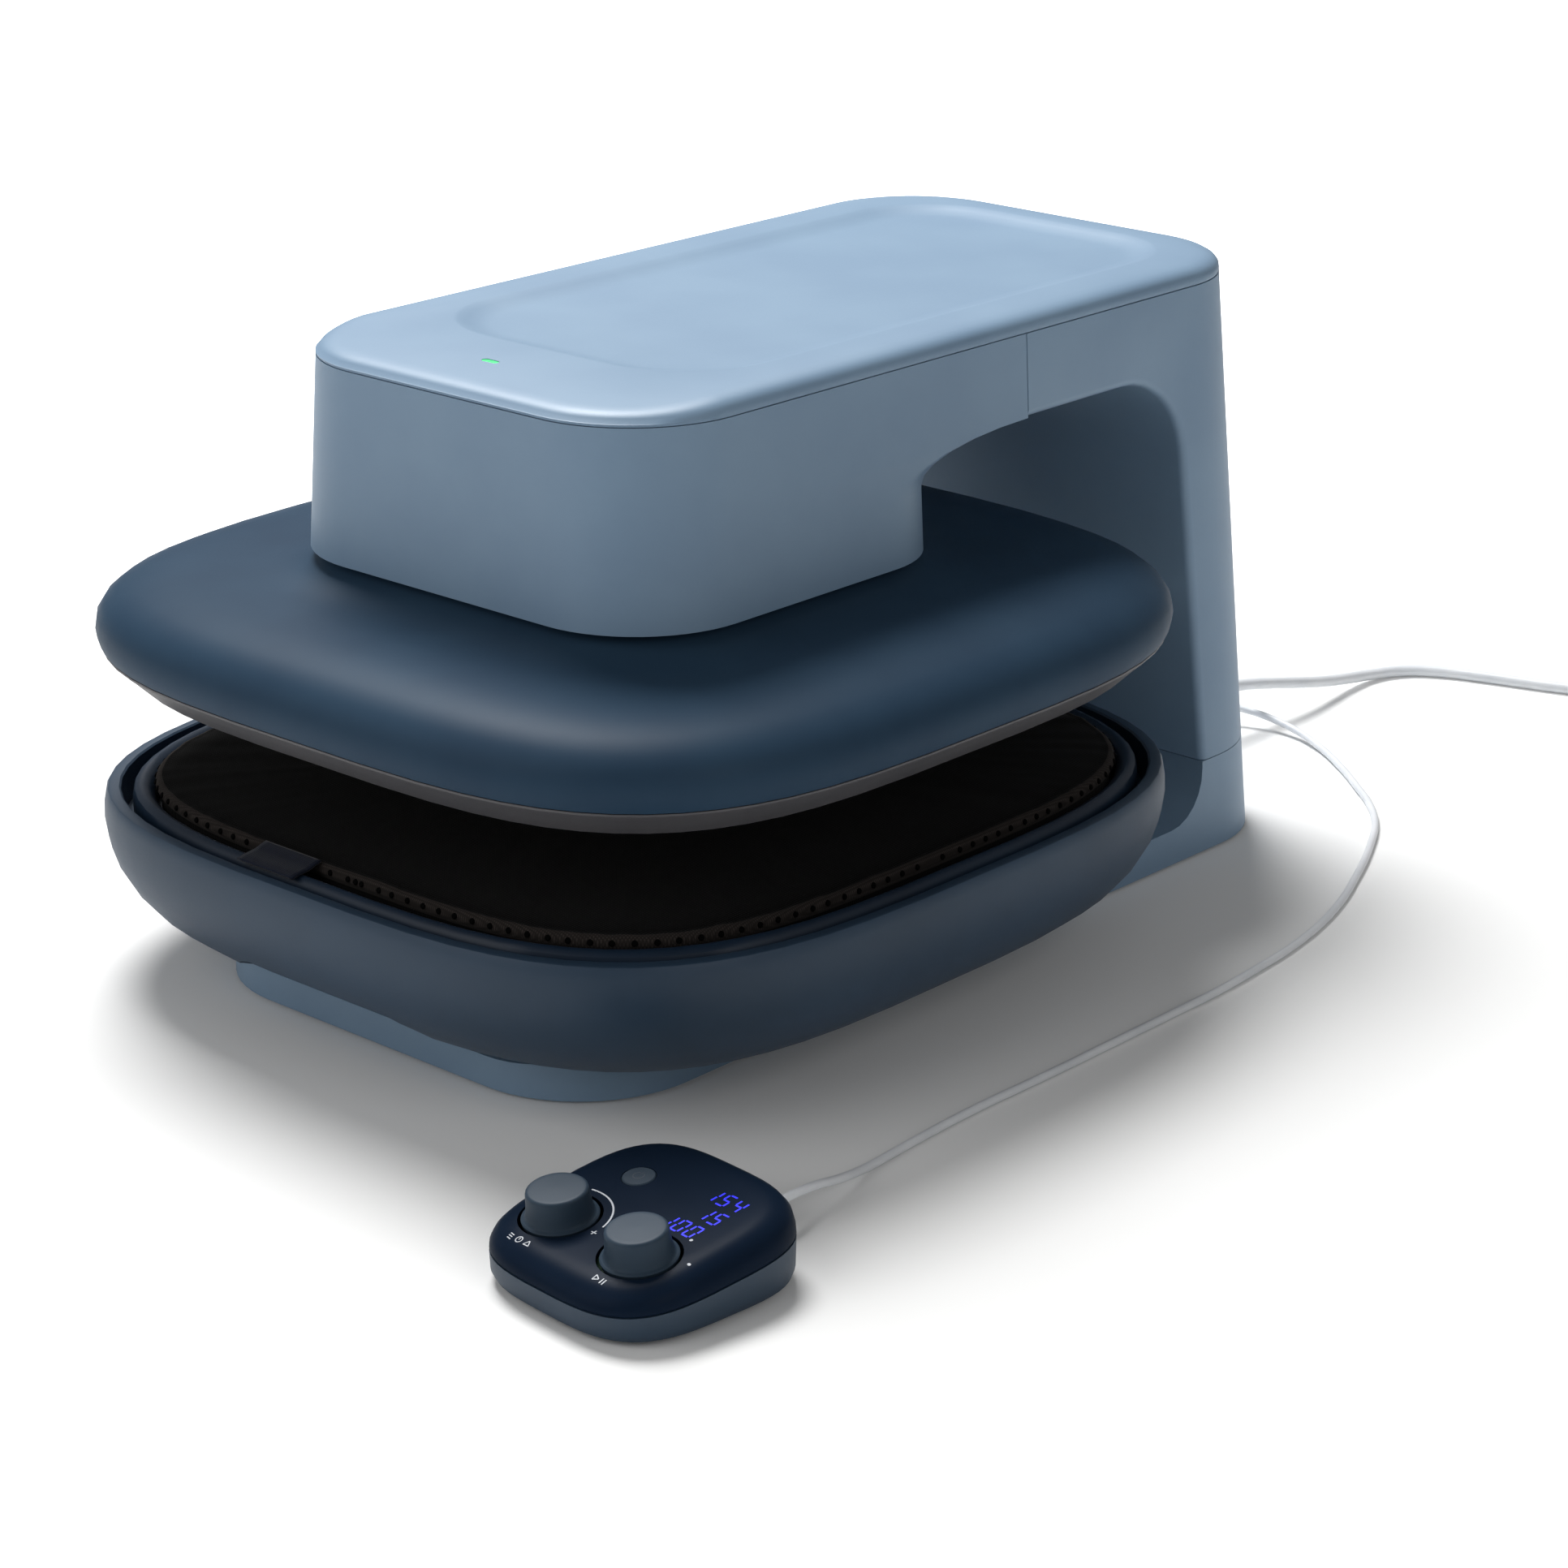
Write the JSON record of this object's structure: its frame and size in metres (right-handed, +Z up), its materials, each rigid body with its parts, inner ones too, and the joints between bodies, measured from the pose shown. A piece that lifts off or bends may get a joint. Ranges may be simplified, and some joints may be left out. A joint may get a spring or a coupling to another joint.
{
  "type": "automatic heat press",
  "caption": "Tabletop heat press with a C-shaped housing, a motor-lowered heated platen over a padded mat, and a cabled control pod with turning, pressing knobs.",
  "frame": {"origin": "on the table under the centre of the heat plate", "axes": "+X to the right seen from the front, -Y to the front where the press is used, +Z up"},
  "size_m": [0.5321, 0.9431, 0.2948],
  "materials": {
    "sky_plastic": "satin moulded",
    "navy_plastic": "satin moulded",
    "skirt_plastic": "matte",
    "rubber": "matte",
    "light_lens": "glossy",
    "steel": "brushed",
    "motor_case": "satin",
    "bronze": "turned",
    "circuit_board": "satin",
    "mat_fabric": "woven",
    "tab_fabric": "woven",
    "plate_metal": "dark coated",
    "heater": "satin",
    "insulation": "fibrous",
    "white_plastic": "satin",
    "white_cord": "satin",
    "pod_plastic": "satin moulded",
    "display": "glossy",
    "part_plastic": "matte",
    "knob_plastic": "satin moulded"
  },
  "bodies": {
    "housing": {"foot_pad": "rubber", "base_shell": "sky_plastic", "column_shell": "sky_plastic", "head_shell": "sky_plastic", "top_cover": "sky_plastic", "status_light": "light_lens", "steel_frame": "steel", "gear_motor": "motor_case", "guide_rods": "steel", "control_board": "circuit_board", "lower_tub": "navy_plastic", "support_frame": "steel", "tray": "navy_plastic", "press_mat": "mat_fabric", "mat_tab": "tab_fabric", "power_gland": "white_plastic", "cable_gland": "white_plastic", "pod_foot": "rubber", "pod_bottom_shell": "pod_plastic", "pod_top_shell": "pod_plastic", "pod_board": "circuit_board", "pod_display": "display", "left_encoder": "part_plastic", "right_encoder": "part_plastic", "button_switch": "part_plastic", "pod_gland": "white_plastic", "pod_cable": "white_cord", "power_cord": "white_cord", "power_cord_coil": "white_cord", "power_plug": "white_plastic", "plug_pins": "steel"},
    "platen": {"platen_cover": "navy_plastic", "lift_plate": "steel", "lift_nut": "bronze", "guide_bushes": "bronze", "heat_skirt": "skirt_plastic", "heat_plate": "plate_metal", "heating_element": "heater", "insulation_slab": "insulation"},
    "screw": {"lift_screw": "steel"},
    "left_plunger": {"left_shaft": "steel"},
    "left_dial": {"left_knob": "knob_plastic"},
    "right_plunger": {"right_shaft": "steel"},
    "right_dial": {"right_knob": "knob_plastic"},
    "power_key": {"power_button": "knob_plastic"}
  },
  "joints": [
    {"name": "press_slide", "type": "slide", "parent": "housing", "child": "platen", "axis": [0, 0, -1], "range_m": [0, 0.043]},
    {"name": "screw_turn", "type": "hinge", "parent": "housing", "child": "screw", "pos_m": [0, -0.015, 0.215], "axis": [0, 0, 1], "range_deg": [0, 780]},
    {"name": "left_knob_push", "type": "slide", "parent": "housing", "child": "left_plunger", "axis": [0.0114, 0.13, -0.9914], "range_m": [0, 0.0012], "stiffness_N_per_m": 1500, "springref_m": -0.001},
    {"name": "left_knob_turn", "type": "hinge", "parent": "left_plunger", "child": "left_dial", "pos_m": [0.21869, -0.27168, 0.02613], "axis": [-0.0114, -0.13, 0.9914], "continuous": true},
    {"name": "right_knob_push", "type": "slide", "parent": "housing", "child": "right_plunger", "axis": [0.0114, 0.13, -0.9914], "range_m": [0, 0.0012], "stiffness_N_per_m": 1500, "springref_m": -0.001},
    {"name": "right_knob_turn", "type": "hinge", "parent": "right_plunger", "child": "right_dial", "pos_m": [0.26551, -0.27578, 0.02613], "axis": [-0.0114, -0.13, 0.9914], "continuous": true},
    {"name": "power_button_push", "type": "slide", "parent": "housing", "child": "power_key", "axis": [0.0114, 0.13, -0.9914], "range_m": [0, 0.0006], "stiffness_N_per_m": 1500, "springref_m": -0.001}
  ],
  "couplings": [
    {"joint": "screw_turn", "follows": "press_slide", "rad_per_m": 314.16}
  ]
}
